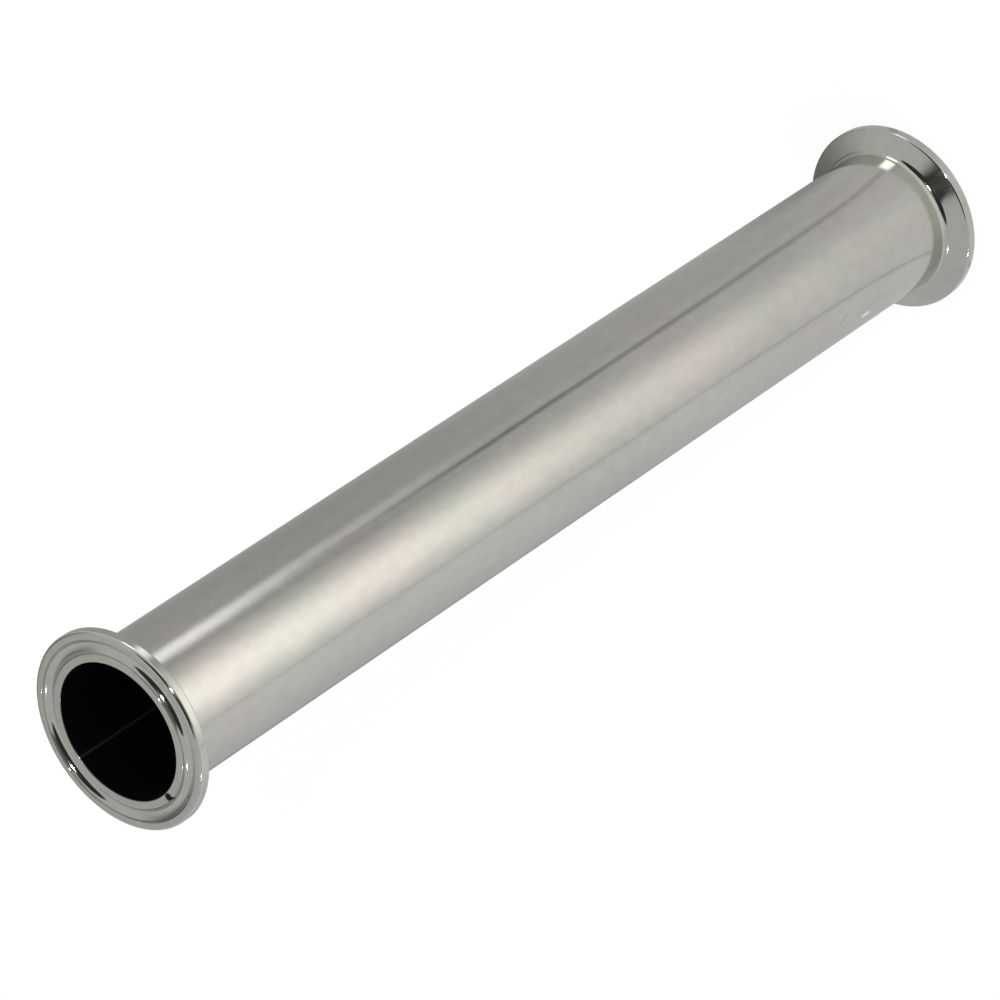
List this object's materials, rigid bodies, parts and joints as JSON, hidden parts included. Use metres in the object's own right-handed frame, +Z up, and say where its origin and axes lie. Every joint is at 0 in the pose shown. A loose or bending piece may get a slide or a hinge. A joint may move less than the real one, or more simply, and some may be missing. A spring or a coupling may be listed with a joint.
{
  "type": "sanitary spool pipe",
  "caption": "Straight polished stainless pipe spool with a grooved clamp ferrule welded flush to each end.",
  "frame": {"origin": "centre of the bottom ferrule's sealing face, which the spool stands on", "axes": "+Z up along the bore, from the bottom ferrule to the top one; the part is round, so +X and +Y are free"},
  "size_m": [0.0506, 0.0506, 0.3048],
  "materials": {
    "tube_steel": "satin polished stainless steel",
    "ferrule_steel": "mirror polished stainless steel"
  },
  "bodies": {
    "root": {"tube": "tube_steel", "top_ferrule": "ferrule_steel", "bottom_ferrule": "ferrule_steel"}
  },
  "joints": []
}
